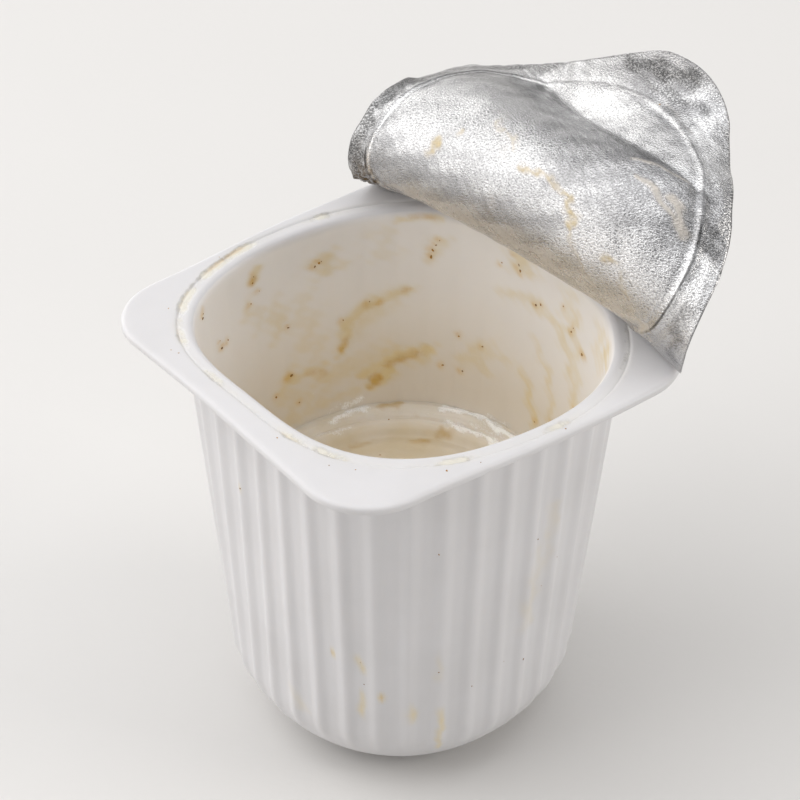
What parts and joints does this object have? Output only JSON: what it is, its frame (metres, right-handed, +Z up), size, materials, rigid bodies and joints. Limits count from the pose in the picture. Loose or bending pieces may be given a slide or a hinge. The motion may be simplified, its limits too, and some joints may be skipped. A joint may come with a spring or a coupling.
{
  "type": "yogurt pot",
  "caption": "Square-rimmed ribbed plastic yogurt pot with its foil lid peeled back and some yogurt left inside.",
  "frame": {"origin": "middle of the pot's flat foot, where it rests", "axes": "+Z up; the flange's sides lie along X and Y; the lid stays bonded on the +Y side"},
  "size_m": [0.0739, 0.0812, 0.1009],
  "materials": {
    "polystyrene": "thin white thermoformed plastic, satin, with dried yogurt smears",
    "foil": "embossed bright aluminium foil, creased, with yogurt smears",
    "yogurt": "wet cream-coloured yogurt, scraped smooth"
  },
  "bodies": {
    "root": {"pot": "polystyrene", "foil_lid": "foil", "yogurt": "yogurt"}
  },
  "joints": []
}
